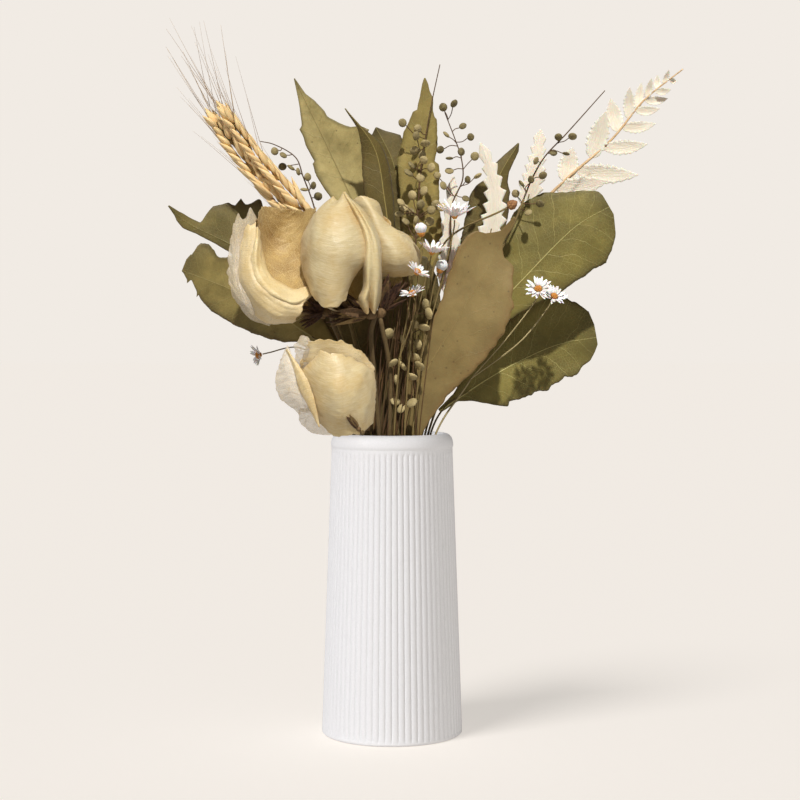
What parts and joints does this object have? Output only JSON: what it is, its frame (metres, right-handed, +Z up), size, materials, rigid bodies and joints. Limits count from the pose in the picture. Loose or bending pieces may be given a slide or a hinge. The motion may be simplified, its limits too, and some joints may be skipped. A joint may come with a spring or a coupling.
{
  "type": "dried flower arrangement in a ribbed vase",
  "caption": "Dried flower arrangement in a white ribbed ceramic vase: olive leaves, cream papery husk blooms, bearded wheat, seed pod sprays, small daisies and bleached fern.",
  "frame": {"origin": "middle of the vase's flat base", "axes": "+X to the right seen from the front, -Y towards the viewer, +Z up along the vase's axis"},
  "size_m": [0.3521, 0.1295, 0.4753],
  "materials": {
    "ceramic": "matte",
    "olive_leaf": "matte",
    "tan_leaf": "matte",
    "dark_leaf": "matte",
    "bleached_leaf": "matte",
    "straw": "satin",
    "husk": "satin",
    "calyx": "matte",
    "pod": "matte",
    "stalk": "matte",
    "white_ray": "matte",
    "disc": "matte"
  },
  "bodies": {
    "root": {"vase": "ceramic", "leaf_upper_left": "olive_leaf", "leaf_folded_front": "olive_leaf", "leaf_folded_back": "dark_leaf", "leaf_upper_middle": "olive_leaf", "leaf_lobed_right": "dark_leaf", "leaf_round_right": "olive_leaf", "leaf_wavy_right": "olive_leaf", "leaf_broad_front": "tan_leaf", "leaf_left_upper": "olive_leaf", "leaf_left_lower": "olive_leaf", "leaf_shaded_left": "dark_leaf", "leaf_shaded_middle": "dark_leaf", "bleached_leaf_middle": "bleached_leaf", "bleached_leaf_narrow": "bleached_leaf", "bleached_leaf_right": "bleached_leaf", "fern_frond_right": "bleached_leaf", "wheat_ear_left": "straw", "wheat_ear_right": "straw", "husk_left_petals": "husk", "husk_left_calyx": "calyx", "husk_front_petals": "husk", "husk_front_calyx": "calyx", "husk_middle_petals": "husk", "husk_middle_calyx": "calyx", "husk_low_petals": "husk", "husk_low_calyx": "calyx", "pod_spray_middle": "pod", "pod_spray_right": "pod", "pod_spray_left": "pod", "pod_spray_upper": "pod", "pod_spray_low": "pod", "daisy_1_disc": "disc", "daisy_1_rays": "white_ray", "daisy_2_disc": "disc", "daisy_2_rays": "white_ray", "daisy_3_disc": "disc", "daisy_3_rays": "white_ray", "daisy_4_disc": "disc", "daisy_4_rays": "white_ray", "daisy_5_disc": "disc", "daisy_5_rays": "white_ray", "daisy_6_disc": "disc", "daisy_6_rays": "white_ray", "daisy_7_disc": "disc", "daisy_7_rays": "white_ray", "daisy_8_disc": "disc", "daisy_8_rays": "white_ray", "daisy_9_disc": "disc", "daisy_9_rays": "white_ray", "daisy_stalks_front": "stalk", "daisy_stalks_middle": "stalk", "daisy_stalks_left": "stalk", "daisy_stalks_right": "stalk", "daisy_stalk_outer": "stalk", "bud_head": "disc", "bud_stalk": "stalk"}
  },
  "joints": []
}
